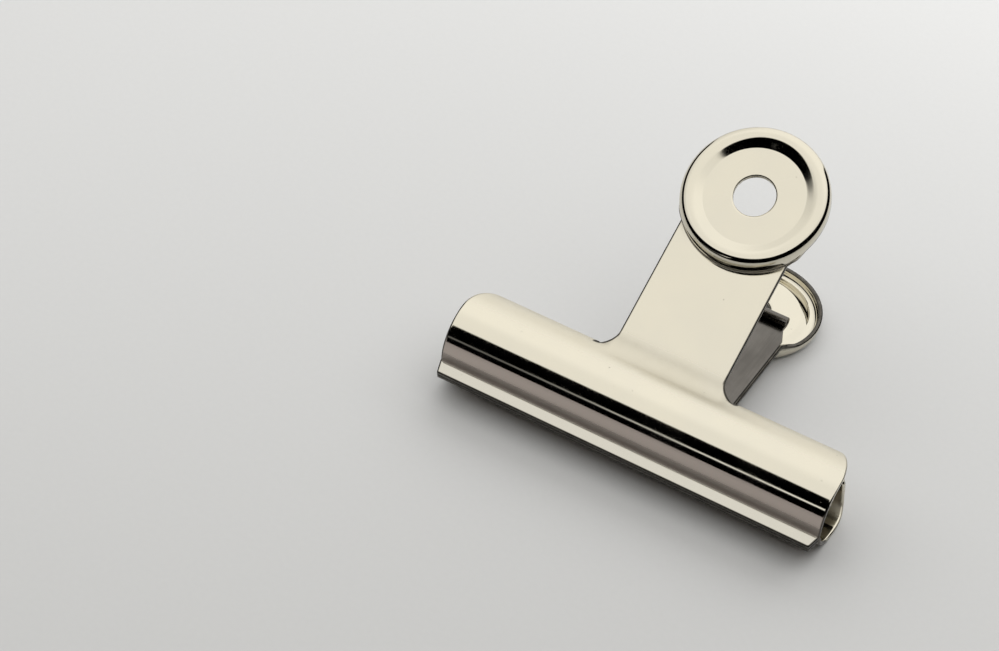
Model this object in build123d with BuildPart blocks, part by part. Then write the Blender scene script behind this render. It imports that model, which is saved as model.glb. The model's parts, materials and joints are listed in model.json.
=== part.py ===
from build123d import *
import os
from math import acos, asin, atan2, cos, degrees, hypot, radians, sin, sqrt, tan

os.makedirs("parts", exist_ok=True)

# Bulldog clip: two pressed plates that hook into each other along a seam, and a leaf spring between them.
# All lengths are in millimetres and all angles in degrees.

# Bar of each plate
sheet = 0.8
bar_width = 76.0
lip_flat = 2.45
lip_taper = 0.7
jaw_gap = 0.1
kink_bend = 0.7
barrel_radius = 7.6
barrel_flat = 1.2
corner_radius = 9.0

# Stem of each plate
stem_width = 21.3
stem_splay = 16.0
root_angle = 50.5
root_bend = 6.0
notch_radius = 3.4
notch_land = 0.4

# Thumb disc of each plate, heights counted from the stem's outer face
disc_distance = 36.1
disc_radius = 13.65
rim_round = 1.75
rim_level = 0.8
crest_flat = 0.12
crest_height = 3.3
crest_round = 2.5
dish_slope = 1.85
floor_height = 2.4
hole_radius = 3.9

# Hinge seam: a bead on the back plate in a hook on the front plate
bead_radius = 0.9
hinge_clearance = 0.06
hook_wrap = 110.0
seam_clearance = 0.3
shoulder_bend = 1.6
flange_bend = 0.8

# Leaf spring
leaf = 0.6
leaf_width = 20.6
leaf_clearance = 0.1
bow_distance = 11.0
bow_radius = 4.0
neck_bend = 3.0
tip_distance = 32.2
tip_length = 5.0
tip_narrowing = 1.2
roll_radius = 0.8
roll_turn = 270.0

# Side profile of a plate: u runs from the lip to the disc, v runs outward from the jaw plane
half_sheet = sheet / 2
half_bar = bar_width / 2
half_stem = stem_width / 2
mid_radius = barrel_radius - half_sheet
lip_level = jaw_gap / 2 + half_sheet
kink_reach = mid_radius + kink_bend
kink_rise = lip_level + kink_bend
kink_turn = 90 - degrees(asin(kink_rise / kink_reach))
lower_centre = lip_flat + sqrt(kink_reach**2 - kink_rise**2)
upper_centre = lower_centre + barrel_flat
barrel_top = upper_centre + barrel_radius

# Hook, bead and the back plate's tucked shoulder
hook_bend = bead_radius + hinge_clearance + half_sheet
hinge_distance = upper_centre + mid_radius - hook_bend
flange_distance = hinge_distance - hook_bend - sheet - seam_clearance
shoulder_reach = flange_distance - shoulder_bend - upper_centre
shoulder_angle = degrees(acos(shoulder_reach / (mid_radius - shoulder_bend)))

# Stem line and the bend at its root
along = Vector(cos(radians(stem_splay)), sin(radians(stem_splay)))
outward = Vector(-along.Y, along.X)
root_turn = radians(root_angle)
root = Vector(upper_centre + barrel_radius * cos(root_turn), barrel_radius * sin(root_turn))
root_depth = (root - Vector(upper_centre, 0)).dot(outward)
bend_angle = 90 + stem_splay - degrees(acos((root_bend + root_depth) / (barrel_radius + root_bend)))
stem_end = root + along * disc_distance - outward * half_sheet
window_half = half_stem + notch_radius + notch_land
disc_point = root + along * disc_distance

# Disc's section: the inner face runs one sheet under the outer one
dish_turn = atan2(crest_height - floor_height, dish_slope)
crest_radius = disc_radius - rim_round - crest_flat - crest_round * tan(dish_turn / 2)
floor_radius = crest_radius - dish_slope
wall_radius = disc_radius - sheet
inner_shift = sheet * tan(dish_turn / 2)

# Leaf spring's legs lie along the inner faces of the stems
leg_offset = sheet + leaf_clearance + leaf / 2
leg_depth = (root - Vector(bow_distance, 0)).dot(outward) - leg_offset
neck_angle = 90 + stem_splay - degrees(acos((neck_bend + leg_depth) / (bow_radius + neck_bend)))
leg_end = root + along * tip_distance - outward * leg_offset
half_leaf = leaf_width / 2

# The clip lies on the back plate's barrel and disc rim
rim_point = disc_point + along * (disc_radius - rim_round) + outward * (crest_height - rim_round)
reach = rim_point - Vector(lower_centre, 0)
lie = atan2(reach.Y, reach.X) - asin((barrel_radius - rim_round) / hypot(reach.X, reach.Y))
rest_height = barrel_radius - lower_centre * sin(lie)
far_point = disc_point + along * disc_radius
near_end = -(jaw_gap / 2 + sheet) * sin(lie)
far_end = far_point.X * cos(lie) + far_point.Y * sin(lie)
middle_origin = (0, -(near_end + far_end) / 2, rest_height)
middle = Plane(middle_origin, x_dir=(1, 0, 0), z_dir=(0, -sin(lie), cos(lie)))
front_side = Plane(middle_origin, x_dir=middle.y_dir, z_dir=(1, 0, 0))
back_side = Plane(middle_origin, x_dir=middle.y_dir, z_dir=(-1, 0, 0))

# Two plates from the same blank: only the seam at their shoulders differs
for plate_name, side, hooked in (("front_plate", front_side, True), ("back_plate", back_side, False)):
    normal = side.from_local_coords(outward) - side.origin
    stem_face = Plane(side.from_local_coords(root), x_dir=side.z_dir, z_dir=normal)
    disc_centre = side.from_local_coords(disc_point)
    disc_section = Plane(disc_centre, x_dir=side.z_dir, z_dir=side.z_dir.cross(normal))

    with BuildPart() as plate:
        # Lip, half barrel and shoulder as one bent strip
        with BuildSketch(side):
            with BuildLine():
                lip = Line((0, lip_level), (lip_flat, lip_level))
                kink = JernArc(lip @ 1, lip % 1, kink_bend, kink_turn)
                flank = JernArc(kink @ 1, kink % 1, mid_radius, -kink_turn)
                roof = Line(flank @ 1, (upper_centre, mid_radius))
                if hooked:
                    shoulder = JernArc(roof @ 1, roof % 1, mid_radius, -90)
                    hook = JernArc(shoulder @ 1, shoulder % 1, hook_bend, -hook_wrap)
                else:
                    shoulder = JernArc(roof @ 1, roof % 1, mid_radius, shoulder_angle - 90)
                    tuck = JernArc(shoulder @ 1, shoulder % 1, shoulder_bend, -shoulder_angle)
                    flange = Line(tuck @ 1, (flange_distance, flange_bend))
                    turn = JernArc(flange @ 1, flange % 1, flange_bend, 90)
                    web = Line(turn @ 1, (hinge_distance, 0))
            trace(line_width=sheet)
            if not hooked:
                with Locations((hinge_distance, 0)):
                    Circle(bead_radius)
        extrude(amount=half_bar, both=True)

        # Tapered lip ends and rounded upper corners
        with BuildSketch(middle) as outline:
            with BuildLine():
                Polyline(
                    (lip_taper - half_bar, 0),
                    (half_bar - lip_taper, 0),
                    (half_bar, lip_flat),
                    (half_bar, barrel_top + half_sheet),
                    (-half_bar, barrel_top + half_sheet),
                    (-half_bar, lip_flat),
                    close=True,
                )
            make_face()
            fillet(outline.vertices().group_by(Axis.Y)[-1], corner_radius)
        extrude(amount=bar_width, both=True, mode=Mode.INTERSECT)

        # Opening between the shoulders for the stem
        with BuildSketch(middle):
            with Locations((0, upper_centre)):
                Rectangle(2 * window_half, bar_width, align=(Align.CENTER, Align.MIN))
        extrude(amount=bar_width, both=True, mode=Mode.SUBTRACT)

        # Stem, bent out of the barrel
        with BuildSketch(side):
            with BuildLine():
                crown = JernArc((upper_centre, mid_radius), (1, 0), mid_radius, bend_angle - 90)
                bend = JernArc(crown @ 1, crown % 1, root_bend + half_sheet, stem_splay + 90 - bend_angle)
                Line(bend @ 1, stem_end)
            trace(line_width=sheet)
        extrude(amount=window_half, both=True)

        # Filleted notches beside the stem
        with BuildSketch(stem_face) as notch:
            with BuildLine():
                Polyline(
                    (half_stem, notch_land),
                    (window_half, notch_land),
                    (window_half, disc_distance + sheet),
                    (half_stem, disc_distance + sheet),
                    close=True,
                )
            make_face()
            fillet(notch.vertices().group_by(Axis.Y)[0].sort_by(Axis.X)[0], notch_radius)
            mirror(about=Plane.YZ)
        extrude(amount=2 * sheet, both=True, mode=Mode.SUBTRACT)

        # Thumb disc with its dish, rolled crest and hanging hole
        with BuildSketch(stem_face):
            with Locations((0, disc_distance)):
                Circle(wall_radius)
        extrude(amount=2 * sheet, both=True, mode=Mode.SUBTRACT)
        with BuildSketch(disc_section):
            with BuildLine():
                outer_face = FilletPolyline(
                    (hole_radius, floor_height),
                    (floor_radius, floor_height),
                    (crest_radius, crest_height),
                    (disc_radius, crest_height),
                    (disc_radius, rim_level),
                    radius=(0, crest_round, rim_round),
                )
                Polyline(
                    outer_face @ 1,
                    (wall_radius, rim_level),
                    (wall_radius, crest_height - sheet),
                    (crest_radius + inner_shift, crest_height - sheet),
                    (floor_radius + inner_shift, floor_height - sheet),
                    (hole_radius, floor_height - sheet),
                    outer_face @ 0,
                )
            make_face()
        revolve(axis=Axis(disc_centre, normal))

        # Rim drawn down into the stem where the two meet
        with BuildSketch(stem_face.offset(-half_sheet)):
            with Locations((0, disc_distance)):
                Circle(disc_radius)
                Circle(wall_radius, mode=Mode.SUBTRACT)
                Rectangle(stem_width, disc_radius, align=(Align.CENTER, Align.MAX), mode=Mode.INTERSECT)
        extrude(amount=half_sheet + rim_level)

    plate.part.label = plate_name
    export_step(plate.part, "parts/" + plate_name + ".step")

# Leaf spring: a bow in the barrel, two legs along the stems and a roll at each tip
with BuildPart() as leaf_spring:
    with BuildSketch(front_side):
        with BuildLine():
            bow = JernArc((bow_distance - bow_radius, 0), (0, 1), bow_radius, neck_angle - 180)
            neck = JernArc(bow @ 1, bow % 1, neck_bend, stem_splay + 90 - neck_angle)
            leg = Line(neck @ 1, leg_end)
            JernArc(leg @ 1, leg % 1, roll_radius, -roll_turn)
        trace(line_width=leaf)
        mirror(about=Plane.XZ)
    extrude(amount=half_leaf, both=True)

    # Tips narrowed at both edges
    with BuildSketch(middle):
        with BuildLine():
            Polyline(
                (half_leaf, leg_end.X - tip_length),
                (half_leaf - tip_narrowing, leg_end.X - tip_length + tip_narrowing),
                (half_leaf - tip_narrowing, leg_end.X + tip_length),
                (half_leaf, leg_end.X + tip_length),
                close=True,
            )
        make_face()
        mirror(about=Plane.YZ)
    extrude(amount=bar_width, both=True, mode=Mode.SUBTRACT)

leaf_spring.part.label = "leaf_spring"
export_step(leaf_spring.part, "parts/leaf_spring.step")
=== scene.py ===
# %% [markdown]
# # A bulldog clip, lying on its back
#
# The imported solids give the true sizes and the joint. This lesson dresses them: two pressed plates of
# bright nickel and a leaf spring between them. The frame is loaded first, so that everything that
# follows is built in the same metres and on the same axes.

# %% Load the frame
import json
from math import acos, asin, atan2, cos, degrees, hypot, pi, radians, sin, sqrt

import bpy
import bmesh
from mathutils import Matrix, Vector


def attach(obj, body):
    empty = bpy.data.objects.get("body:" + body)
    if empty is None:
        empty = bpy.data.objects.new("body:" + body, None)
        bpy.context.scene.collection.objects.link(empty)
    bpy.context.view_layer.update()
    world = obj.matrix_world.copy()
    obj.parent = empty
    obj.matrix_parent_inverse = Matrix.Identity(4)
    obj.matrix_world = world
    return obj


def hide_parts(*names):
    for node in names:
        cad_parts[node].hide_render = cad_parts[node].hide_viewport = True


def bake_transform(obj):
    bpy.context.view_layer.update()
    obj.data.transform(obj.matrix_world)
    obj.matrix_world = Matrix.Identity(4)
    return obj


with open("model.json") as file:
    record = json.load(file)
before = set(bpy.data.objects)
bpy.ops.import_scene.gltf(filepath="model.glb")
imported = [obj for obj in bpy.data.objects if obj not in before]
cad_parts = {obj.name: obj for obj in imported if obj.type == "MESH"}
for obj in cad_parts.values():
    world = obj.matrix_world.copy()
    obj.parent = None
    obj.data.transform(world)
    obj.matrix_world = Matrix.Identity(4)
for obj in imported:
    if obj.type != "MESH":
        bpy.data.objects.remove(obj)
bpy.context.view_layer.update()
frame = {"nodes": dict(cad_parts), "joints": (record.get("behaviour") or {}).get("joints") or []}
hinge = Vector(frame["joints"][0]["pos_m"])
print("solids:", sorted(frame["nodes"]), "hinge at", [round(x, 4) for x in hinge])

# %% [markdown]
# ## Sizes
#
# Mirror-bright metal shows every flat facet, so the plates are rebuilt here as smooth sheets instead of
# showing the solids' triangles. Both files use the same sizes. They are written in millimetres, because
# a clip is drawn in millimetres, and become metres only when a point is placed.

# %% Sizes of the plates
SHEET = 0.8
HALF_SHEET = SHEET / 2
HALF_BAR = 38.0
LIP_FLAT = 2.45
LIP_TAPER = 0.7
JAW_GAP = 0.1
KINK_BEND = 0.7
BARREL_RADIUS = 7.6
BARREL_FLAT = 1.2
CORNER_RADIUS = 9.0
HALF_STEM = 10.65
SPLAY = radians(16.0)
ROOT_ANGLE = radians(50.5)
ROOT_BEND = 6.0
NOTCH = 3.4
NOTCH_LAND = 0.4
DISC_DISTANCE = 36.1
DISC_RADIUS = 13.65
RIM_ROUND = 1.75
RIM_LEVEL = 0.8
CREST_FLAT = 0.12
CREST_HEIGHT = 3.3
CREST_ROUND = 2.5
DISH_SLOPE = 1.85
FLOOR_HEIGHT = 2.4
HOLE_RADIUS = 3.9
BEAD_RADIUS = 0.9
HINGE_CLEARANCE = 0.06
HOOK_BEND = BEAD_RADIUS + HINGE_CLEARANCE + HALF_SHEET
HOOK_WRAP = radians(110.0)
SEAM_CLEARANCE = 0.3
SHOULDER_BEND = 1.6
FLANGE_BEND = 0.8

# %% Sizes that follow from them
MID_RADIUS = BARREL_RADIUS - HALF_SHEET
LIP_LEVEL = JAW_GAP / 2 + HALF_SHEET
KINK_REACH = MID_RADIUS + KINK_BEND
KINK_RISE = LIP_LEVEL + KINK_BEND
KINK_TURN = pi / 2 - asin(KINK_RISE / KINK_REACH)
LOWER_CENTRE = LIP_FLAT + sqrt(KINK_REACH**2 - KINK_RISE**2)
UPPER_CENTRE = LOWER_CENTRE + BARREL_FLAT
BARREL_TOP = UPPER_CENTRE + BARREL_RADIUS
HINGE = UPPER_CENTRE + MID_RADIUS - HOOK_BEND
FLANGE = HINGE - HOOK_BEND - SHEET - SEAM_CLEARANCE
TUCK_ANGLE = acos((FLANGE - SHOULDER_BEND - UPPER_CENTRE) / (MID_RADIUS - SHOULDER_BEND))
ALONG = Vector((cos(SPLAY), sin(SPLAY)))
OUTWARD = Vector((-sin(SPLAY), cos(SPLAY)))
ROOT = Vector((UPPER_CENTRE + BARREL_RADIUS * cos(ROOT_ANGLE), BARREL_RADIUS * sin(ROOT_ANGLE)))
ROOT_DEPTH = (ROOT - Vector((UPPER_CENTRE, 0))).dot(OUTWARD)
BEND_ANGLE = pi / 2 + SPLAY - acos((ROOT_BEND + ROOT_DEPTH) / (BARREL_RADIUS + ROOT_BEND))
DISC_POINT = ROOT + ALONG * DISC_DISTANCE
print("barrel top", round(BARREL_TOP, 2), "mm from the lip, disc centre", round(DISC_POINT.x, 2), "mm")

# %% [markdown]
# ## Where the clip lies
#
# The clip rests on the back plate's barrel and on the rim of the back disc. That tilts its middle plane,
# so one function turns the clip's own coordinates into places in the scene: x along the bar, u from the
# lip to the discs, v outward from the jaw plane. The back plate is the same with v counted the other way.

# %% From the clip's own coordinates to the scene
MM_PER_METRE = 1000

rim_point = DISC_POINT + ALONG * (DISC_RADIUS - RIM_ROUND) + OUTWARD * (CREST_HEIGHT - RIM_ROUND)
reach = rim_point - Vector((LOWER_CENTRE, 0))
LIE = atan2(reach.y, reach.x) - asin((BARREL_RADIUS - RIM_ROUND) / hypot(reach.x, reach.y))
U_AXIS = Vector((0, cos(LIE), sin(LIE)))
V_AXIS = Vector((0, -sin(LIE), cos(LIE)))
LIP_POINT = hinge - U_AXIS * (HINGE / MM_PER_METRE)


def place(x, u, v):
    """A point of the clip, in millimetres, as a point of the scene, in metres."""
    across = Vector((x / MM_PER_METRE, 0, 0))
    return LIP_POINT + across + U_AXIS * (u / MM_PER_METRE) + V_AXIS * (v / MM_PER_METRE)


print("middle plane tilted by", round(degrees(LIE), 2), "degrees")
print("lip edge at", [round(c, 4) for c in LIP_POINT])

# %% [markdown]
# ## Bending a sheet on paper
#
# A press bends a flat strip by turning it through arcs, so the section is drawn the way it is made: go
# straight, turn, go straight. The little pen below keeps a point and a heading and leaves points behind.
# The real sheet has an even thickness, so only its middle line is drawn and Solidify adds the rest.

# %% A pen that draws bent strips


class Bender:
    """Draws the middle line of a bent strip, from straight runs and arcs."""

    def __init__(self, start, heading=0.0):
        self.points = [Vector(start)]
        self.heading = heading

    def straight(self, length, steps=1):
        step = Vector((cos(self.heading), sin(self.heading))) * (length / steps)
        for _ in range(steps):
            self.points.append(self.points[-1] + step)
        return self

    def arc(self, radius, turn, steps):
        side = 1 if turn > 0 else -1
        centre = self.points[-1] + Vector((-sin(self.heading), cos(self.heading))) * radius * side
        for i in range(1, steps + 1):
            angle = self.heading + turn * i / steps
            self.points.append(centre + Vector((sin(angle), -cos(angle))) * radius * side)
        self.heading += turn
        return self


print("a pen with straight runs and arcs")

# %% [markdown]
# ## Three sections of a plate
#
# All sections share the lip, the kink, the flank and the roof. The stem then bends away to the disc. The
# front plate's shoulder goes on round the barrel and curls into a hook, and the back plate's shoulder is
# tucked in, so that its edge can reach the hook. A short run beside each free edge and each crease keeps
# the shading smooth where the sheet is flat and lets it turn over quickly where the sheet ends. Free edges
# are trimmed by a hundredth of a millimetre, so that the smooth sheet stays inside the solids' box.

# %% Sections from the lip to the disc and to the hinge
EDGE_ROUND = 0.4
CREASE = 0.15
TRIM = 0.008


def bar_to_tuck():
    """Lip, kink, flank and roof, up to where the two kinds of shoulder part."""
    pen = Bender((TRIM, LIP_LEVEL)).straight(EDGE_ROUND)
    pen.straight(LIP_FLAT - EDGE_ROUND - TRIM - CREASE, steps=4).straight(CREASE)
    pen.arc(KINK_BEND, KINK_TURN, steps=10).arc(MID_RADIUS, -KINK_TURN, steps=40)
    return pen.straight(BARREL_FLAT, steps=3).arc(MID_RADIUS, TUCK_ANGLE - pi / 2, steps=8)


stem_pen = bar_to_tuck()
stem_pen.arc(MID_RADIUS, BEND_ANGLE - TUCK_ANGLE, steps=4)
stem_line = stem_pen.arc(ROOT_BEND + HALF_SHEET, SPLAY + pi / 2 - BEND_ANGLE, steps=16).points

hook_pen = bar_to_tuck()
hook_pen.arc(MID_RADIUS, BEND_ANGLE - TUCK_ANGLE, steps=4).arc(MID_RADIUS, -BEND_ANGLE, steps=22)
hook_line = hook_pen.arc(HOOK_BEND, -HOOK_WRAP, steps=16).points

tuck_pen = bar_to_tuck()
tuck_pen.arc(SHOULDER_BEND, -TUCK_ANGLE, steps=12)
tuck_pen.straight(tuck_pen.points[-1].y - FLANGE_BEND, steps=4).arc(FLANGE_BEND, pi / 2, steps=8)
tuck_line = tuck_pen.straight(HINGE - tuck_pen.points[-1].x, steps=4).points
print("rows:", len(stem_line), "stem,", len(hook_line), "hook,", len(tuck_line), "tuck")

# %% [markdown]
# ## The pressed plate
#
# The real plate is one T-shaped blank: bar, stem and disc are pressed out of the same sheet. A grid of
# rows and columns follows it. Rows run up the section, columns run across the bar. Above the notch the
# grid splits: the shoulders curl over to the hinge and the stem bends away to the disc. A round grid
# makes the disc, and its rim shares its corners with the top of the stem, so the sheet has no seam.

# %% A sheet made of rows


class Sheet:
    """The middle surface of a plate; side is 1 for the front plate and -1 for the back plate."""

    def __init__(self, side):
        self.grid = bmesh.new()
        self.side = side

    def vertex(self, x, point):
        return self.grid.verts.new(place(x, point.x, self.side * point.y))

    def skin(self, rows):
        """Fills the space between neighbouring rows with faces."""
        for low, high in zip(rows, rows[1:]):
            for a, b, c, d in zip(low, low[1:], high[1:], high):
                corners = list(dict.fromkeys((a, b, c, d)))
                if len(corners) > 2:
                    self.grid.faces.new(corners)

    def surface(self, name):
        bmesh.ops.recalc_face_normals(self.grid, faces=self.grid.faces)
        mesh = bpy.data.meshes.new(name)
        self.grid.to_mesh(mesh)
        self.grid.free()
        return mesh


print("a sheet takes rows of corners")

# %% [markdown]
# ## Columns across the bar
#
# The lip tapers at both ends and the bar's upper corners are round, so its width changes with the height.
# The columns are set once: even ones across the stem, ones that crowd towards the stem in the notch's
# fillet, and even ones over the shoulders. The last column beside each free edge is narrow.

# %% Width and columns of the bar
STEM_COLUMNS = 40
FLARE_COLUMNS = 10
SHOULDER_COLUMNS = 26
FLARE_EDGE = HALF_STEM + NOTCH


def half_width(u):
    """Half the bar's width at a height u."""
    if u < LIP_FLAT:
        return HALF_BAR - LIP_TAPER * (1 - u / LIP_FLAT)
    over = u - (BARREL_TOP + HALF_SHEET - CORNER_RADIUS)
    if over < 0:
        return HALF_BAR
    return HALF_BAR - CORNER_RADIUS + sqrt(max(CORNER_RADIUS**2 - over**2, 0))


stem_x = [HALF_STEM * (2 * i / STEM_COLUMNS - 1) for i in range(STEM_COLUMNS + 1)]
stem_x[1], stem_x[-2] = EDGE_ROUND - HALF_STEM, HALF_STEM - EDGE_ROUND
flare_turns = [pi / 2 * i / FLARE_COLUMNS for i in range(FLARE_COLUMNS + 1)]
flare_x = [HALF_STEM + NOTCH * (1 - cos(turn)) for turn in flare_turns]
shoulder_t = [i / (SHOULDER_COLUMNS - 1) for i in range(SHOULDER_COLUMNS)] + [1.0]
shoulder_t[-2] = 1 - EDGE_ROUND / (HALF_BAR - FLARE_EDGE)
print("columns:", len(stem_x), "stem,", len(flare_x), "fillet,", len(shoulder_t), "shoulder")

# %% [markdown]
# ## Bar and shoulders
#
# Up to the notches the stem and the shoulders are one sheet, and in the width of the fillet their sections
# blend into each other. Past the notches each shoulder goes on alone, along its own section.

# %% Bar and shoulders
row_heights = [(point - ROOT).dot(ALONG) for point in stem_line]
NOTCH_ROW = min(range(len(row_heights)), key=lambda row: abs(row_heights[row] - NOTCH_LAND))


def ease(t):
    """Smooth step from 0 to 1."""
    t = min(max(t, 0.0), 1.0)
    return t * t * (3 - 2 * t)


def bar_grid(sheet, shoulder_line):
    """Every column of the bar, from the lip up to the notches. Returns the top row."""
    rows = []
    for row in range(NOTCH_ROW + 1):
        inner, outer = stem_line[row], shoulder_line[row]
        wide = half_width(outer.x)
        half = [(x, inner.lerp(outer, 1 - ease((FLARE_EDGE - x) / NOTCH))) for x in flare_x[1:]]
        half += [(FLARE_EDGE + (wide - FLARE_EDGE) * t, outer) for t in shoulder_t[1:]]
        columns = [(-x, p) for x, p in reversed(half)] + [(x, inner) for x in stem_x] + half
        rows.append([sheet.vertex(x, p) for x, p in columns])
    sheet.skin(rows)
    return rows[-1]


def shoulder_grids(sheet, shoulder_line, top):
    """Both shoulders, from the notches on to the hinge."""
    last = len(top) - 1
    for low, high in ((0, SHOULDER_COLUMNS), (last - SHOULDER_COLUMNS, last)):
        rows = [top[low:high + 1]]
        for point in shoulder_line[NOTCH_ROW + 1:]:
            wide = half_width(point.x)
            span = [FLARE_EDGE + (wide - FLARE_EDGE) * t for t in shoulder_t]
            xs = [-x for x in reversed(span)] if low == 0 else span
            rows.append([sheet.vertex(x, point) for x in xs])
        sheet.skin(rows)


print("notches start at row", NOTCH_ROW)

# %% [markdown]
# ## Stem
#
# Beside the stem's root the press leaves a round fillet, so that the sheet doesn't tear there. Its rows are
# the stem's rows squeezed under a quarter circle. Above it the stem runs straight to the disc, and its last
# row lies on a circle round the disc's centre.

# %% Bend of the stem above the notches
FILLET_ROWS = 5
FILLET_STRETCH = 0.2
FILLET_HEIGHT = NOTCH + FILLET_STRETCH
NOTCH_START = row_heights[NOTCH_ROW]

stem_rise = [height - NOTCH_START for height in row_heights[NOTCH_ROW:]]
BEND_TOP = stem_rise[-1]
stem_rise += [BEND_TOP + (FILLET_HEIGHT - BEND_TOP) * j / FILLET_ROWS for j in range(1, FILLET_ROWS + 1)]


def bend_point(s):
    """A point of the bent stem at a height s above the notches, counted along the stem."""
    if s >= BEND_TOP:
        return ROOT + ALONG * (NOTCH_START + s) - OUTWARD * HALF_SHEET
    j = next(i for i in range(1, len(stem_rise)) if s <= stem_rise[i])
    t = (s - stem_rise[j - 1]) / (stem_rise[j] - stem_rise[j - 1])
    return stem_line[NOTCH_ROW + j - 1].lerp(stem_line[NOTCH_ROW + j], t)


print("above the notches: bend", round(BEND_TOP, 2), "mm, fillets", round(FILLET_HEIGHT, 2), "mm")

# %% Fillets beside the stem
FIRST_STEM_COLUMN = SHOULDER_COLUMNS + FLARE_COLUMNS
# A corner that would lie this close to the bar's top row, in millimetres, is taken from that row
FLAT_FILLET = 1e-4


def fillet_grid(sheet, shoulder_line, top, stem_rows, mirror):
    """The fillet on one side of the stem; mirror is 1 on the right and -1 on the left."""
    sag = shoulder_line[NOTCH_ROW] - stem_line[NOTCH_ROW]
    rows = []
    for j, s in enumerate(stem_rise):
        row = [stem_rows[j][-1 if mirror > 0 else 0]]
        for i, x in enumerate(flare_x[1:], 1):
            base = top[FIRST_STEM_COLUMN + STEM_COLUMNS + i] if mirror > 0 else top[FIRST_STEM_COLUMN - i]
            reach_x = (FLARE_EDGE - x) / NOTCH
            height = stem_rise[-1] * (1 - sqrt(max(1 - reach_x**2, 0.0)))
            h = s / stem_rise[-1] * height
            if j == 0 or h < FLAT_FILLET:
                row.append(base)
            else:
                row.append(sheet.vertex(mirror * x, bend_point(h) + sag * (1 - ease(reach_x))))
        rows.append(row if mirror > 0 else row[::-1])
    sheet.skin(rows)


print("each fillet has", FLARE_COLUMNS, "columns and", len(stem_rise) - 1, "rows")

# %% Stem up to the disc
STEM_ROWS = 16
RIM_HEM = 0.5
WALL_RADIUS = DISC_RADIUS - HALF_SHEET - TRIM
HEM_RADIUS = WALL_RADIUS + RIM_HEM


def stem_grid(sheet, shoulder_line, top):
    """The stem from its bend up to the disc. Returns the row that the disc's rim shares."""
    rows = [top[FIRST_STEM_COLUMN:FIRST_STEM_COLUMN + STEM_COLUMNS + 1]]
    for s in stem_rise[1:]:
        rows.append([sheet.vertex(x, bend_point(s)) for x in stem_x])
    for mirror in (-1, 1):
        fillet_grid(sheet, shoulder_line, top, rows, mirror)
    start = NOTCH_START + stem_rise[-1]
    for i in range(1, STEM_ROWS + 2):
        row = []
        for x in stem_x:
            end = DISC_DISTANCE - sqrt(HEM_RADIUS**2 - x**2)
            s = end if i > STEM_ROWS else start + (end - CREASE - start) * i / STEM_ROWS
            row.append(sheet.vertex(x, ROOT + ALONG * s - OUTWARD * HALF_SHEET))
        rows.append(row)
    sheet.skin(rows)
    return rows[-1]


print("stem ends", round(HEM_RADIUS, 2), "mm from the disc's centre, in", STEM_ROWS + 1, "rows")

# %% [markdown]
# ## Thumb disc
#
# The disc is a shallow dish with a rolled crest and a turned-down rim. Where the rim meets the stem it is
# drawn down into it with a small bend, and beside the stem it ends in a cut edge. So its section has two
# starts, one for each, and they blend into each other beside the stem.

# %% Section of the disc
FLOOR_ROUND = 0.2

dish_angle = atan2(CREST_HEIGHT - FLOOR_HEIGHT, DISH_SLOPE)
crest_bend = CREST_ROUND - HALF_SHEET
rim_bend = RIM_ROUND - HALF_SHEET
floor_bend = FLOOR_ROUND + HALF_SHEET
wall_end = CREST_HEIGHT - HALF_SHEET - TRIM - rim_bend

drawn_rim = Bender((HEM_RADIUS, -HALF_SHEET), pi).arc(RIM_HEM, -pi / 2, steps=6)
drawn_rim.straight(wall_end - drawn_rim.points[-1].y, steps=2)
cut_rim = Bender((WALL_RADIUS, RIM_LEVEL), pi / 2).straight(EDGE_ROUND)
cut_rim.straight(wall_end - cut_rim.points[-1].y, steps=len(drawn_rim.points) - 2)

dish = Bender((WALL_RADIUS, wall_end), pi / 2).arc(rim_bend, pi / 2, steps=16).straight(CREST_FLAT)
dish.arc(crest_bend, dish_angle, steps=12)
slope_drop = CREST_HEIGHT - FLOOR_HEIGHT - (crest_bend + floor_bend) * (1 - cos(dish_angle))
dish.straight(slope_drop / sin(dish_angle), steps=4).arc(floor_bend, -dish_angle, steps=10)
dish.straight(dish.points[-1].x - HOLE_RADIUS - EDGE_ROUND, steps=10).straight(EDGE_ROUND)
print("dish slopes by", round(degrees(dish_angle), 1), "degrees in", len(dish.points), "points")

# %% Grid of the disc
RIM_EASE = 0.35
RIM_COLUMNS = 120

disc_angles = [asin(x / HEM_RADIUS) for x in stem_x]
free_turn = 2 * pi - (disc_angles[-1] - disc_angles[0])
disc_angles += [disc_angles[-1] + free_turn * i / RIM_COLUMNS for i in range(1, RIM_COLUMNS)]


def disc_section(i):
    """Section of the disc in its column i, from the rim's lower edge in to the hole."""
    beside = min(disc_angles[i] - disc_angles[STEM_COLUMNS], disc_angles[0] + 2 * pi - disc_angles[i])
    part = 0.0 if i <= STEM_COLUMNS else ease(beside / RIM_EASE)
    return [low.lerp(high, part) for low, high in zip(drawn_rim.points, cut_rim.points)] + dish.points[1:]


def disc_grid(sheet, rim_row):
    """A round grid that starts on the stem's last row."""
    rings = []
    for i, angle in enumerate(disc_angles):
        ring = []
        for n, point in enumerate(disc_section(i)):
            if n == 0 and i <= STEM_COLUMNS:
                ring.append(rim_row[i])
                continue
            spot = ROOT + ALONG * (DISC_DISTANCE - point.x * cos(angle)) + OUTWARD * point.y
            ring.append(sheet.vertex(point.x * sin(angle), spot))
        rings.append(ring)
    sheet.skin(list(zip(*(rings + rings[:1]))))


print("disc has", len(disc_angles), "columns")

# %% The whole plate as a middle surface


def plate_surface(name, shoulder_line, side):
    """All grids of a plate, one after the other, on one sheet."""
    sheet = Sheet(side)
    top = bar_grid(sheet, shoulder_line)
    shoulder_grids(sheet, shoulder_line, top)
    disc_grid(sheet, stem_grid(sheet, shoulder_line, top))
    return sheet.surface(name)


print("a plate is a bar, two shoulders, a stem and a disc")

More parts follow.
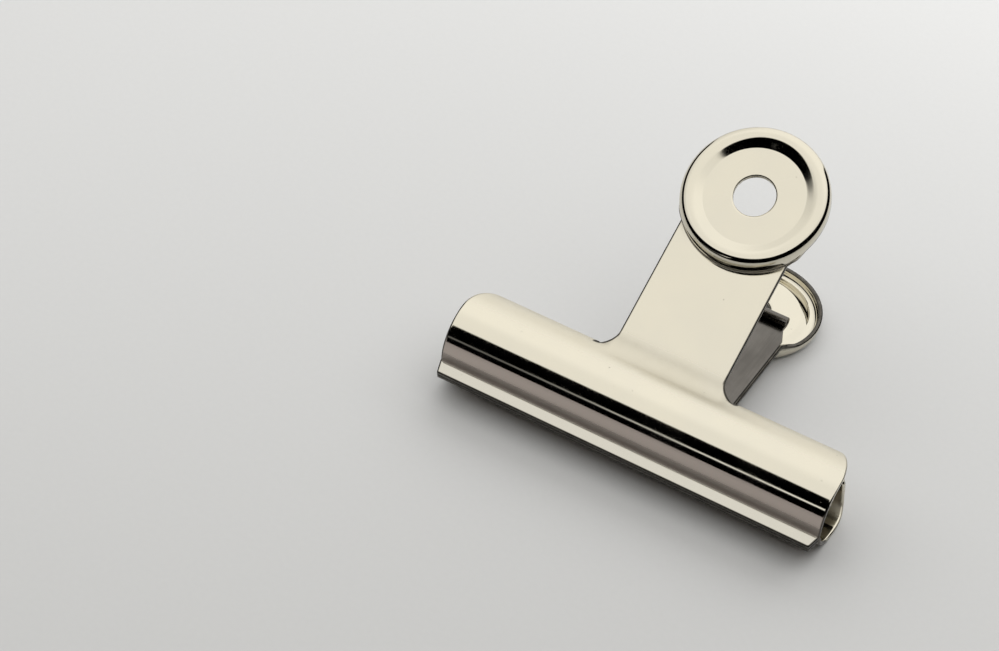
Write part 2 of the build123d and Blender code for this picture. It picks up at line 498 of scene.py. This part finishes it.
# %% [markdown]
# ## Thickness
#
# A pressed sheet has an even thickness and edges that tumbling and plating leave round. Solidify gives the
# first. For the second, the grid has a narrow column beside every free edge, and the faces are shaded
# smoothly across the edge, so the mirror turns over within that column. The rim that Solidify adds gets its
# own material number, because that is the sheared edge of the sheet.

# %% Give a middle surface its thickness
RIM_NUMBER = 1


def thicken(name, surface):
    """Runs Solidify on a middle surface and returns the result as a plain mesh."""
    raw = bpy.data.objects.new(name + ".raw", surface)
    bpy.context.scene.collection.objects.link(raw)
    thick = raw.modifiers.new("sheet", "SOLIDIFY")
    thick.thickness = SHEET / MM_PER_METRE
    thick.offset = 0
    thick.use_even_offset = True
    thick.material_offset_rim = RIM_NUMBER
    surface.materials.append(None)
    surface.materials.append(None)
    graph = bpy.context.evaluated_depsgraph_get()
    mesh = bpy.data.meshes.new_from_object(raw.evaluated_get(graph))
    bpy.data.objects.remove(raw)
    mesh.name = name
    mesh.polygons.foreach_set("use_smooth", [True] * len(mesh.polygons))
    return mesh


print("sheet is", SHEET, "mm thick")

# %% [markdown]
# ## Where the finish changes and where shade is painted
#
# Four marks on the corners of the mesh tell the material where the finish differs and where light and shade
# are painted into the colour. The first paints dark shade along the sheared edges and beside the edges of
# the stem and of its fillets, and only a little in the hole and on the bar's upper corners. The second is
# the strained, duller metal in the root bend, and it only changes the roughness. The third paints dark shade
# into the kink above the lip and under the disc's rim. The last paints a darker, browner reflection below
# the
# roof: half a mark on the lip and a full one on the flank. Marks on corners cost nothing to look up and
# follow the sheet, so they were chosen over painted pictures. Reaches and fades are in millimetres.

# %% Marks in the kink and on the edges
# Painted shade in the kink: a broad wash and a narrow dark seam at the lip
WASH_REACH = 1.2
WASH_FADE = 0.8
WASH_PART = 0.4
SEAM_REACH = 0.12
SEAM_FADE = 0.16
SEAM_PART = 0.6
FILLET_ROOM = 0.1
# In the hole and on the bar's upper corners the sheared edge gets only a little painted shade
BRIGHT_EDGE = 0.3
BRIGHT_MARGIN = 1.0
BRIGHT_CORNER = 6.0
KINK_CENTRE = Vector((LIP_FLAT, LIP_LEVEL + KINK_BEND))


def kink_shade(spot):
    """Painted shade in the kink: a dark seam at the lip and a wash of shade that fades up the flank."""
    wash = 1 - ease(((spot - KINK_CENTRE).length - WASH_REACH) / WASH_FADE)
    seam = 1 - ease((spot.x - LIP_FLAT - SEAM_REACH) / SEAM_FADE)
    return wash * WASH_PART + seam * SEAM_PART


def fillet_edge(x, up_stem):
    """The painted edge shade beside a fillet, which fades over the narrow column, or None away from the
    fillets.
    """
    across = (abs(x) - FLARE_EDGE) / NOTCH
    above = (up_stem - NOTCH_LAND) / FILLET_HEIGHT - 1
    if not all(-1 - FILLET_ROOM < part < FILLET_ROOM for part in (across, above)):
        return None
    return 1 - ease((hypot(across, above) - 1) * NOTCH / EDGE_ROUND)


def rim_mark(x, u):
    """The painted shade of a point on the sheared edge, weak in the hole and on the bar's upper corners."""
    hole = max(abs(u - DISC_POINT.x), abs(x)) < HOLE_RADIUS + BRIGHT_MARGIN
    corner = abs(x) > FLARE_EDGE + BRIGHT_MARGIN and u > BRIGHT_CORNER
    return BRIGHT_EDGE if hole or corner else 1.0


print("grime where the lip ends:", round(kink_shade(Vector((LIP_FLAT, LIP_LEVEL))), 2))

# %% All marks of a plate
MARKS = ("edge_shade", "worked", "crease_shade", "painted_reflection")
WORKED_CORE = 2.0
WORKED_FADE = 4.0
# Painted reflection below the roof: where it ends and fades, and how much of it the lip gets
PAINTED_REFLECTION_TOP = 4.2
PAINTED_REFLECTION_FADE = 1.5
PAINTED_REFLECTION_LIP = 0.5
HEM_REACH = 0.08
HEM_HEIGHT = 0.1
HEM_FADE = 0.6


def marks(x, spot):
    """The four marks of a point that lies at x along the bar and at spot in the section."""
    up_stem, depth = (spot - ROOT).dot(ALONG), (spot - ROOT).dot(OUTWARD)
    from_wall = hypot(x, up_stem - DISC_DISTANCE) - DISC_RADIUS
    edge_shade = crease_shade = 0.0
    # Painted shade in the kink above the lip
    if spot.x > LIP_FLAT - CREASE / 2:
        crease_shade = kink_shade(spot)
    # Painted shade under the disc's rim where it is drawn into the stem, and a painted dark line beside the
    # stem's edges below the disc
    if up_stem > NOTCH and depth > -HALF_SHEET:
        crease_shade = (1 - ease((from_wall - HEM_REACH) / CREASE)) * (1 - ease((depth - HEM_HEIGHT) / HEM_FADE))
    elif up_stem > NOTCH and from_wall > 0 and abs(x) > HALF_STEM - EDGE_ROUND - TRIM:
        edge_shade = 1.0
    on_fillet = fillet_edge(x, up_stem)
    if on_fillet is not None:
        edge_shade = on_fillet
    worked = 1 - ease(((spot - ROOT).length - WORKED_CORE) / WORKED_FADE)
    # A painted darker reflection: half on the lip, full on the flank, fading out above the flank
    painted_reflection = PAINTED_REFLECTION_LIP if spot.x < LIP_FLAT else 1 - ease((spot.x - PAINTED_REFLECTION_TOP) / PAINTED_REFLECTION_FADE)
    return {"edge_shade": edge_shade, "worked": worked, "crease_shade": crease_shade, "painted_reflection": painted_reflection}


def mark_finish(mesh):
    """Writes the marks into the mesh, where the material finds them by name."""
    table = []
    spots = []
    for point in mesh.vertices:
        away = (point.co - LIP_POINT) * MM_PER_METRE
        spot = Vector((away.dot(U_AXIS), abs(away.dot(V_AXIS))))
        spots.append((away.x, spot.x))
        table.append(marks(away.x, spot))
    for face in mesh.polygons:
        if face.material_index == RIM_NUMBER:
            for i in face.vertices:
                table[i]["edge_shade"] = rim_mark(*spots[i])
        face.material_index = 0
    for label in MARKS:
        layer = mesh.attributes.new(label, "FLOAT", "POINT")
        layer.data.foreach_set("value", [row[label] for row in table])


print("marks:", MARKS)

# %% Both plates


def finish_plate(name, surface, node, body):
    """A thick, marked plate that stands for a solid and rides on its body."""
    mesh = thicken(name, surface)
    mark_finish(mesh)
    plate = bpy.data.objects.new(name, mesh)
    bpy.context.scene.collection.objects.link(plate)
    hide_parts(node)
    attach(plate, body)
    print(name, "has", len(mesh.polygons), "faces")
    return plate


front_surface = plate_surface("front_surface", hook_line, 1)
front = finish_plate("nickel_front_plate", front_surface, "front_plate", "front")
back_surface = plate_surface("back_surface", tuck_line, -1)
back = finish_plate("nickel_back_plate", back_surface, "back_plate", "back")

# %% [markdown]
# ## The hinge bead
#
# The back plate's tucked shoulder ends in a bead that turns in the front plate's hook. On the real sheet
# it is the edge rolled up tight, so it is a small closed bar on each side, fused to the plate by sight.

# %% Beads in the hook
BEAD_SIDES = 28
BEAD_CHAMFER = 0.15
BEAD_GAP = 0.2
SHARP_ANGLE = radians(40)


def bead(name, low, high):
    """A closed bar with chamfered ends, from low to high along the bar."""
    rod = bmesh.new()
    neck = BEAD_RADIUS - BEAD_CHAMFER
    ends = ((low, neck), (low + BEAD_CHAMFER, BEAD_RADIUS), (high - BEAD_CHAMFER, BEAD_RADIUS), (high, neck))
    turns = [2 * pi * i / BEAD_SIDES for i in range(BEAD_SIDES)]
    rings = []
    for x, r in ends:
        rings.append([rod.verts.new(place(x, HINGE + r * cos(a), r * sin(a))) for a in turns])
    for one, two in zip(rings, rings[1:]):
        for i in range(BEAD_SIDES):
            j = (i + 1) % BEAD_SIDES
            rod.faces.new((one[i], one[j], two[j], two[i]))
    rod.faces.new(rings[0])
    rod.faces.new(rings[-1])
    bmesh.ops.recalc_face_normals(rod, faces=rod.faces)
    mesh = bpy.data.meshes.new(name)
    rod.to_mesh(mesh)
    rod.free()
    mesh.polygons.foreach_set("use_smooth", [True] * len(mesh.polygons))
    mesh.set_sharp_from_angle(angle=SHARP_ANGLE)
    piece = bpy.data.objects.new(name, mesh)
    bpy.context.scene.collection.objects.link(piece)
    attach(piece, "back")
    return piece


bead_start = FLARE_EDGE + BEAD_GAP
bead_end = half_width(HINGE)
beads = [
    bead("hinge_bead_right", bead_start, bead_end),
    bead("hinge_bead_left", -bead_end, -bead_start),
]
print("beads reach", round(bead_end, 2), "mm from the middle")

# %% [markdown]
# ## The leaf spring
#
# The spring is one strip bent round a bow, with a leg along each stem and a roll at each tip. A strip that
# follows a path is what Geometry Nodes do well: the path is drawn once, and the tree sweeps a flat
# section along it, then narrows both tips. The sizes are inputs of the tree, so the strip can be changed
# without touching the path.

# %% Path of the spring
LEAF = 0.6
HALF_LEAF = 10.3
LEAF_CLEARANCE = 0.1
BOW = 11.0
BOW_RADIUS = 4.0
NECK_BEND = 3.0
TIP = 32.2
ROLL_RADIUS = 0.8
ROLL_TURN = 1.5 * pi
LEG_OFFSET = SHEET + LEAF_CLEARANCE + LEAF / 2
LEG_DEPTH = (ROOT - Vector((BOW, 0))).dot(OUTWARD) - LEG_OFFSET
NECK_ANGLE = pi / 2 + SPLAY - acos((NECK_BEND + LEG_DEPTH) / (BOW_RADIUS + NECK_BEND))
leg_end = ROOT + ALONG * TIP - OUTWARD * LEG_OFFSET

leaf_pen = Bender((BOW - BOW_RADIUS, 0), pi / 2)
leaf_pen.arc(BOW_RADIUS, NECK_ANGLE - pi, steps=30).arc(NECK_BEND, SPLAY + pi / 2 - NECK_ANGLE, steps=10)
leaf_pen.straight((leg_end - leaf_pen.points[-1]).length, steps=24).arc(ROLL_RADIUS, -ROLL_TURN, steps=24)
half_path = leaf_pen.points
full_path = [Vector((p.x, -p.y)) for p in reversed(half_path[1:])] + half_path
print("spring path has", len(full_path), "points")

# %% A node tree that sweeps a strip
TIP_EASE = 0.02
STRIP_INPUTS = (
    ("Width", 2 * HALF_LEAF / MM_PER_METRE),
    ("Thickness", LEAF / MM_PER_METRE),
    ("Tip Share", 0.08),
    ("Tip Width", 0.88),
)


def strip_tree():
    """Geometry nodes that turn a line of edges into a flat strip with narrow tips."""
    tree = bpy.data.node_groups.new("swept_strip", "GeometryNodeTree")
    face = tree.interface
    face.new_socket("Geometry", in_out="INPUT", socket_type="NodeSocketGeometry")
    for label, value in STRIP_INPUTS:
        face.new_socket(label, in_out="INPUT", socket_type="NodeSocketFloat").default_value = value
    face.new_socket("Material", in_out="INPUT", socket_type="NodeSocketMaterial")
    face.new_socket("Geometry", in_out="OUTPUT", socket_type="NodeSocketGeometry")

    def add(kind, sockets=None, settings=None):
        node = tree.nodes.new(kind)
        for key, value in (settings or {}).items():
            setattr(node, key, value)
        for key, value in (sockets or {}).items():
            if hasattr(value, "is_output"):
                tree.links.new(value, node.inputs[key])
            else:
                node.inputs[key].default_value = value
        return node

    def maths(operation, first, second=0.0):
        return add("ShaderNodeMath", {0: first, 1: second}, {"operation": operation}).outputs[0]

    # Sweep the section, and keep how far along the path each point lies
    given = add("NodeGroupInput").outputs
    curve = add("GeometryNodeMeshToCurve", {"Mesh": given["Geometry"]})
    share = add("GeometryNodeSplineParameter").outputs["Factor"]
    kept = add("GeometryNodeCaptureAttribute", {"Geometry": curve.outputs[0]}, {"domain": "POINT"})
    kept.capture_items.new("FLOAT", "share")
    tree.links.new(share, kept.inputs[1])
    sideways = {"Curve": kept.outputs[0], "Normal": (1, 0, 0)}
    across = add("GeometryNodeSetCurveNormal", sideways, {"mode": "FREE"})
    size = {"Width": given["Width"], "Height": given["Thickness"]}
    section = add("GeometryNodeCurvePrimitiveQuadrilateral", size)
    sweep = {"Curve": across.outputs[0], "Profile Curve": section.outputs[0], "Fill Caps": True}
    swept = add("GeometryNodeCurveToMesh", sweep)

    # Narrow both tips
    away = maths("ABSOLUTE", maths("SUBTRACT", kept.outputs[1], 0.5))
    edge = maths("SUBTRACT", 0.5, given["Tip Share"])
    span = {"Value": away, "From Min": edge, "From Max": maths("ADD", edge, TIP_EASE)}
    span.update({"To Min": 1.0, "To Max": given["Tip Width"]})
    narrow = add("ShaderNodeMapRange", span, {"interpolation_type": "SMOOTHSTEP"})
    here = add("GeometryNodeInputPosition")
    parts = add("ShaderNodeSeparateXYZ", {"Vector": here.outputs[0]}).outputs
    drawn_in = maths("MULTIPLY", parts[0], narrow.outputs[0])
    moved = add("ShaderNodeCombineXYZ", {"X": drawn_in, "Y": parts[1], "Z": parts[2]})
    shaped = add("GeometryNodeSetPosition", {"Geometry": swept.outputs[0], "Position": moved.outputs[0]})
    real = add("GeometryNodeRealizeInstances", {"Geometry": shaped.outputs[0]})
    plated = add("GeometryNodeSetMaterial", {"Geometry": real.outputs[0], "Material": given["Material"]})
    add("NodeGroupOutput", {"Geometry": plated.outputs[0]})
    return tree


print("the strip's tree takes", [label for label, value in STRIP_INPUTS])

# %% [markdown]
# ## Shader maths in Python
#
# Materials here are sums and products of noise, so one small class wraps a socket and lets ordinary
# operators add the Math nodes. Any other node comes from its one method, which takes the node's type, its
# settings and what its sockets get.

# %% A socket that takes part in expressions


class Signal:
    """A socket of a node tree. Arithmetic on it adds Math nodes."""

    def __init__(self, tree, socket=None):
        self.tree = tree
        self.socket = socket

    def node(self, kind, settings=None, sockets=None, output=0):
        made = self.tree.nodes.new(kind)
        for key, value in (settings or {}).items():
            setattr(made, key, value)
        for key, value in (sockets or {}).items():
            if isinstance(value, Signal):
                self.tree.links.new(value.socket, made.inputs[key])
            else:
                made.inputs[key].default_value = value
        return Signal(self.tree, made.outputs[output])

    def maths(self, operation, *values):
        return self.node("ShaderNodeMath", {"operation": operation}, dict(enumerate(values)))

    def __add__(self, other):
        return self.maths("ADD", self, other)

    def __radd__(self, other):
        return self.maths("ADD", other, self)

    def __sub__(self, other):
        return self.maths("SUBTRACT", self, other)

    def __rsub__(self, other):
        return self.maths("SUBTRACT", other, self)

    def __mul__(self, other):
        return self.maths("MULTIPLY", self, other)

    def __rmul__(self, other):
        return self.maths("MULTIPLY", other, self)

    def between(self, low, high):
        """0 below low, 1 above high, smooth between them."""
        span = {"Value": self, "From Min": low, "From Max": high}
        return self.node("ShaderNodeMapRange", {"interpolation_type": "SMOOTHSTEP"}, span)

    def mixed(self, first, second):
        """A colour that goes from first to second as this signal goes from 0 to 1."""
        return self.node("ShaderNodeMix", {"data_type": "RGBA"}, {0: self, 6: first, 7: second}, 2)

    def feeds(self, shader, label):
        """Links this signal to an input of a shader."""
        self.tree.links.new(self.socket, shader.inputs[label])


print("sockets add, subtract and multiply")

# %% Helpers for materials


def new_material(name):
    """A material, a signal to start its nodes from, and its shader."""
    material = bpy.data.materials.new(name)
    material.use_nodes = True
    tree = material.node_tree
    return material, Signal(tree), tree.nodes["Principled BSDF"]


def noise(make, where, scale, detail, roughness=0.5):
    """Cloudy noise, finer with a larger scale."""
    sockets = {"Vector": where, "Scale": scale, "Detail": detail, "Roughness": roughness}
    return make.node("ShaderNodeTexNoise", None, sockets)


def stretched(make, where, rotation, scale):
    """Coordinates that draw a pattern out into lines."""
    return make.node("ShaderNodeMapping", None, {"Vector": where, "Rotation": rotation, "Scale": scale})


def relief(make, strength, depth, height):
    """Fine bumps: strength is how much they show and depth is in metres."""
    sockets = {"Strength": strength, "Distance": depth, "Height": height}
    return make.node("ShaderNodeBump", None, sockets)


def mark(make, label):
    """One of the marks that a plate's corners carry."""
    return make.node("ShaderNodeAttribute", {"attribute_name": label}, output=2)


print("helpers: noise, stretched noise, relief and marks")

# %% [markdown]
# ## Bright nickel
#
# Nickel plate is a warm mirror. What makes it look real is small: the press leaves the sheet faintly wavy,
# polishing leaves hairlines, handling leaves duller patches and a few specks. So the colour barely changes,
# while the roughness and a shallow bump carry the detail. Only the marked places differ more, and there the
# colour is painted light and shade: a darker painted reflection below the roof, painted shade along the
# sheared edges, and painted shade in the kink and under the disc's rim.

# %% Patterns on the nickel
nickel, make, skin = new_material("nickel_plate")
where = make.node("ShaderNodeTexCoord", output=3)
patches = noise(make, where, scale=90.0, detail=4.0, roughness=0.6)
cloud = noise(make, where, scale=700.0, detail=5.0, roughness=0.65)
wave = noise(make, where, scale=130.0, detail=2.0, roughness=0.4)
along = stretched(make, where, rotation=(0.2, 0.5, 0.9), scale=(260, 9000, 5200))
hairline = noise(make, along, scale=1.0, detail=2.0)
across = stretched(make, where, rotation=(0.9, 0.1, 2.3), scale=(300, 11000, 7000))
counter = noise(make, across, scale=1.0, detail=2.0)
scratch = hairline.between(0.66, 0.74) * patches.between(0.45, 0.62) + counter.between(0.68, 0.76) * 0.7
dots = make.node("ShaderNodeTexVoronoi", None, {"Vector": where, "Scale": 420.0, "Randomness": 1.0})
speck = (1 - dots.between(0.05, 0.11)) * cloud.between(0.56, 0.64)
edge_shade, worked, crease_shade, painted_reflection = (mark(make, label) for label in MARKS)
print("nickel has patches, hairlines, specks and four marks")

# %% Nickel plate
WARM_NICKEL = (0.668, 0.632, 0.532, 1)
PALE_NICKEL = (0.690, 0.650, 0.540, 1)
# Painted reflection: darker, browner colours for the lip and, darker still, the flank, in place of the
# shadowed floor and dimmer room they reflect
LIP_PAINTED_REFLECTION = (0.537, 0.515, 0.452, 1)
FLANK_PAINTED_REFLECTION = (0.465, 0.403, 0.362, 1)
SPECK = (0.34, 0.31, 0.26, 1)
# Painted shade: near-black for the sheared edges and the lines beside them
EDGE_SHADE_COLOUR = (0.06, 0.055, 0.047, 1)
# Painted shade in the kink and under the disc's rim
CREASE_SHADE_COLOUR = (0.16, 0.14, 0.118, 1)

uneven = 0.85 + cloud * 0.3
roof_tone = patches.between(0.3, 0.7).mixed(WARM_NICKEL, PALE_NICKEL)
# Painted reflection: the lip and then the flank are mixed towards their darker colours
lip_tone = (painted_reflection.between(0, 0.5) * uneven).mixed(roof_tone, LIP_PAINTED_REFLECTION)
flank_tone = (painted_reflection.between(0.5, 1) * uneven).mixed(lip_tone, FLANK_PAINTED_REFLECTION)
worn = speck.mixed(flank_tone, SPECK)
# Painted shade along the sheared edges and beside the stem's edges and fillets
edge_shaded = (edge_shade.between(0.2, 0.7) * (0.8 + cloud * 0.3)).mixed(worn, EDGE_SHADE_COLOUR)
# Painted shade in the kink and under the disc's rim
crease_shaded = (crease_shade * (0.6 + cloud * 0.3)).mixed(edge_shaded, CREASE_SHADE_COLOUR)
crease_shaded.feeds(skin, "Base Color")

# The painted crease shade is also made less metallic, so that it stays dark
shade_nonmetal = crease_shade.between(0, 0.4) * (1 - crease_shade.between(0.5, 0.9))
metal = 1 - shade_nonmetal * 0.75
metal.feeds(skin, "Metallic")

polish = 0.055 + patches.between(0.35, 0.75) * 0.045 + cloud.between(0.4, 0.75) * 0.03
rough = polish + scratch * 0.12 + speck * 0.3 + edge_shade * 0.18 + worked * 0.4 + crease_shade.between(0, 0.5) * 0.35
rough.feeds(skin, "Roughness")

height = wave * 0.9 + scratch * -0.012 + cloud * 0.02 + speck * 0.03
relief(make, strength=0.18, depth=0.00006, height=height).feeds(skin, "Normal")
for piece in (front, back, *beads):
    piece.data.materials.clear()
    piece.data.materials.append(nickel)
print("nickel has", len(make.tree.nodes), "nodes")

# %% [markdown]
# ## Spring steel
#
# The leaf is rolled strip, hardened and tempered, which leaves it dark and less polished than the plates.
# Rolling leaves a grain along the strip, so its noise is stretched that way.

# %% Spring steel
DARK_TEMPER = (0.105, 0.098, 0.089, 1)
LIGHT_TEMPER = (0.158, 0.148, 0.135, 1)

spring_steel, make, skin = new_material("spring_steel")
where = make.node("ShaderNodeTexCoord", output=3)
patches = noise(make, where, scale=160.0, detail=4.0, roughness=0.6)
rolled = stretched(make, where, rotation=(0, 0, 0), scale=(6500, 130, 130))
grain = noise(make, rolled, scale=1.0, detail=3.0, roughness=0.6)
tone = (patches * 0.6 + grain * 0.4).between(0.3, 0.7)
tone.mixed(DARK_TEMPER, LIGHT_TEMPER).feeds(skin, "Base Color")
skin.inputs["Metallic"].default_value = 1.0
rough = 0.1 + grain * 0.1 + patches.between(0.4, 0.8) * 0.06
rough.feeds(skin, "Roughness")
relief(make, strength=0.25, depth=0.00002, height=grain).feeds(skin, "Normal")
print("spring steel has", len(make.tree.nodes), "nodes")

# %% [markdown]
# ## Sweeping the spring
#
# The tree runs once on the path and its result is kept as a plain mesh. A small bevel stands for the slit
# edges of the strip. One leg lies along each stem.

# %% Sweep the spring
SLIT_EDGE = 0.00012
SLIT_ANGLE = radians(60)
BOW_BLEND = 2.5

line = bpy.data.meshes.new("spring_path")
links = [(i, i + 1) for i in range(len(full_path) - 1)]
line.from_pydata([place(0, p.x, p.y) for p in full_path], links, [])
carrier = bpy.data.objects.new("spring_path", line)
bpy.context.scene.collection.objects.link(carrier)
sweep = carrier.modifiers.new("strip", "NODES")
sweep.node_group = strip_tree()
inputs = {s.name: s.identifier for s in sweep.node_group.interface.items_tree if s.in_out == "INPUT"}
sweep[inputs["Width"]] = 2 * HALF_LEAF / MM_PER_METRE
sweep[inputs["Thickness"]] = LEAF / MM_PER_METRE
sweep[inputs["Material"]] = spring_steel
burr = carrier.modifiers.new("slit_edge", "BEVEL")
burr.width = SLIT_EDGE
burr.segments = 2
burr.limit_method = "ANGLE"
burr.angle_limit = SLIT_ANGLE
graph = bpy.context.evaluated_depsgraph_get()
leaf_mesh = bpy.data.meshes.new_from_object(carrier.evaluated_get(graph))
bpy.data.objects.remove(carrier)
leaf_mesh.name = "leaf_spring_strip"
leaf_mesh.polygons.foreach_set("use_smooth", [True] * len(leaf_mesh.polygons))
leaf_mesh.set_sharp_from_angle(angle=SHARP_ANGLE)
leaf_strip = bpy.data.objects.new("leaf_spring_strip", leaf_mesh)
bpy.context.scene.collection.objects.link(leaf_strip)
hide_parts("leaf_spring")
place(0, BOW, -BOW_BLEND)
place(0, BOW, BOW_BLEND)
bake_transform(leaf_strip)
print("spring has", len(leaf_mesh.polygons), "faces")

# %% [markdown]
# ## Floor
#
# A plain pale floor carries the clip's soft shadow. It is part of the studio and not of the object.

# %% Floor
FLOOR_SIZE = 3.0
GREY_PAPER = (0.575, 0.577, 0.575, 1)
PALE_PAPER = (0.595, 0.597, 0.595, 1)

bpy.ops.mesh.primitive_plane_add(size=FLOOR_SIZE, location=(0, 0, 0))
floor = bpy.context.object
floor.name = "studio_floor"
pale, make, skin = new_material("pale_floor")
where = make.node("ShaderNodeTexCoord", output=3)
paper = noise(make, where, scale=900.0, detail=3.0)
paper.mixed(GREY_PAPER, PALE_PAPER).feeds(skin, "Base Color")
skin.inputs["Roughness"].default_value = 0.9
skin.inputs["Specular IOR Level"].default_value = 0.1
floor.data.materials.append(pale)
print("floor is", FLOOR_SIZE, "m wide")

# %% [markdown]
# ## Studio light
#
# A mirror shows the room, so the room is drawn as part of the light: a bright ceiling and a bright wall
# behind the clip, and a dark wall with one narrow lit gap in front of it. The dark wall is what draws the
# black band along the barrel and round the rims. Each ray has a rise above the floor and a turn to the side,
# both in degrees, and the wall's top, the gap and the brightness are written with those two.

# %% Rise and turn of a ray
TO_DEGREES = 180 / pi

world = bpy.data.worlds.new("studio")
world.use_nodes = True
bpy.context.scene.world = world
make = Signal(world.node_tree)
ray = make.node("ShaderNodeTexCoord", output=0)
split = make.tree.nodes.new("ShaderNodeSeparateXYZ")
make.tree.links.new(ray.socket, split.inputs[0])
rx, ry, rz = (Signal(make.tree, split.outputs[i]) for i in range(3))
rise = rz.maths("ARCSINE", rz) * TO_DEGREES
turn = rx.maths("ARCTAN2", rx, ry * -1) * TO_DEGREES
print("a turn of 0 looks to the front, where the jaws point")

# %% Dark wall, lit gap and bright ceiling
WALL_HEIGHT = 24.8
WALL_BLUR = 1.3
GAP_HEIGHT = 18
GAP_TURN = 15
GAP_TILT = 0.7
CEILING = 1.13
WARM_WHITE = (1.0, 0.99, 0.965, 1)

# The wall ends at the back on both sides, rises towards the front and sinks again to the right
side_wall = turn.between(-138, -112) * (1 - turn.between(150, 172))
front_rise = turn.between(-62, -18) * 24
front_dip = turn.between(-15, 20) * 5.4
right_dip = turn.between(45, 108) * 10
wall_top = (WALL_HEIGHT + (front_rise - front_dip - right_dip)) * side_wall
ceiling = (rise - wall_top).between(-WALL_BLUR, WALL_BLUR)

# The gap slopes, and it is brightest at its right end
gap_height = GAP_HEIGHT + (turn + GAP_TURN) * GAP_TILT
gap_spread = gap_height.maths("ABSOLUTE", rise - gap_height)
gap_span = turn.between(-40, -30) * (1 - turn.between(-10.5, -8))
gap_part = gap_span * (0.18 + turn.between(-19, -13) * 0.95)
gap = (1 - gap_spread.between(1.2, 3.0)) * gap_part

# The ceiling is a little brighter at the back and dimmer low down and far to the sides
aside = rx.maths("ABSOLUTE", rx).between(0.25, 0.7) * (1 - rise.between(25, 70))
back_lift = ry.between(-0.25, 0.25) * 0.12
low_dim = (1 - rise.between(5, 32)) * 0.12
bright = CEILING + back_lift - low_dim - aside * 0.22
light = ceiling * bright + (1 - ceiling) * gap

# Nothing shines from below the floor
glow = light * rise.between(-1, 0.5)
background = make.tree.nodes["Background"]
glow.feeds(background, "Strength")
background.inputs["Color"].default_value = WARM_WHITE
print("room drawn with", len(make.tree.nodes), "nodes")

# %% [markdown]
# ## Lamps for the floor
#
# The dark wall would leave the floor grey, so two soft lamps light it from behind and from the left. They
# are hidden from glossy rays, because the metal should show the room and not two rectangles.

# %% Lamps for the floor
for name, size, spot, watts in (
    ("rear_floor_lamp", (0.6, 0.3), (0, 0.3, 0.24), 1.1),
    ("side_floor_lamp", (0.2, 0.2), (-0.19, -0.02, 0.12), 0.045),
):
    lamp_data = bpy.data.lights.new(name, "AREA")
    lamp_data.shape = "RECTANGLE"
    lamp_data.size, lamp_data.size_y = size
    lamp_data.energy = watts
    lamp = bpy.data.objects.new(name, lamp_data)
    bpy.context.scene.collection.objects.link(lamp)
    lamp.location = spot
    lamp.visible_glossy = False
    print(name, "at", spot, "gives", watts, "W")

# %% [markdown]
# ## Camera
#
# The camera was solved from the outline of the clip in the picture, in the clip's own coordinates: where
# the eye is, which way is right, and which way is down. A long lens half a metre away gives the slight
# perspective along the bar.

# %% Camera
EYE = (136.865, -233.567, 445.098)
RIGHT = (0.86105, 0.50643, -0.04599)
DOWN = (0.39846, -0.72813, -0.55772)
FOCAL_PIXELS = 2957.0
IMAGE_WIDTH = 999


def direction(parts):
    """A direction in the clip's own coordinates as one of the scene."""
    return (Vector((parts[0], 0, 0)) + U_AXIS * parts[1] + V_AXIS * parts[2]).normalized()


camera_data = bpy.data.cameras.new("camera")
camera_data.sensor_width = 36.0
camera_data.sensor_fit = "HORIZONTAL"
camera_data.lens = FOCAL_PIXELS * camera_data.sensor_width / IMAGE_WIDTH
camera_data.clip_start = 0.01
camera = bpy.data.objects.new("camera", camera_data)
bpy.context.scene.collection.objects.link(camera)
right, up = direction(RIGHT), -direction(DOWN)
facing = Matrix((right, up, right.cross(up))).transposed()
camera.matrix_world = Matrix.Translation(place(*EYE)) @ facing.to_4x4()
bpy.context.scene.camera = camera
bpy.context.scene.view_settings.view_transform = "Standard"
print("lens", round(camera_data.lens, 1), "mm at", [round(c, 3) for c in camera.location])
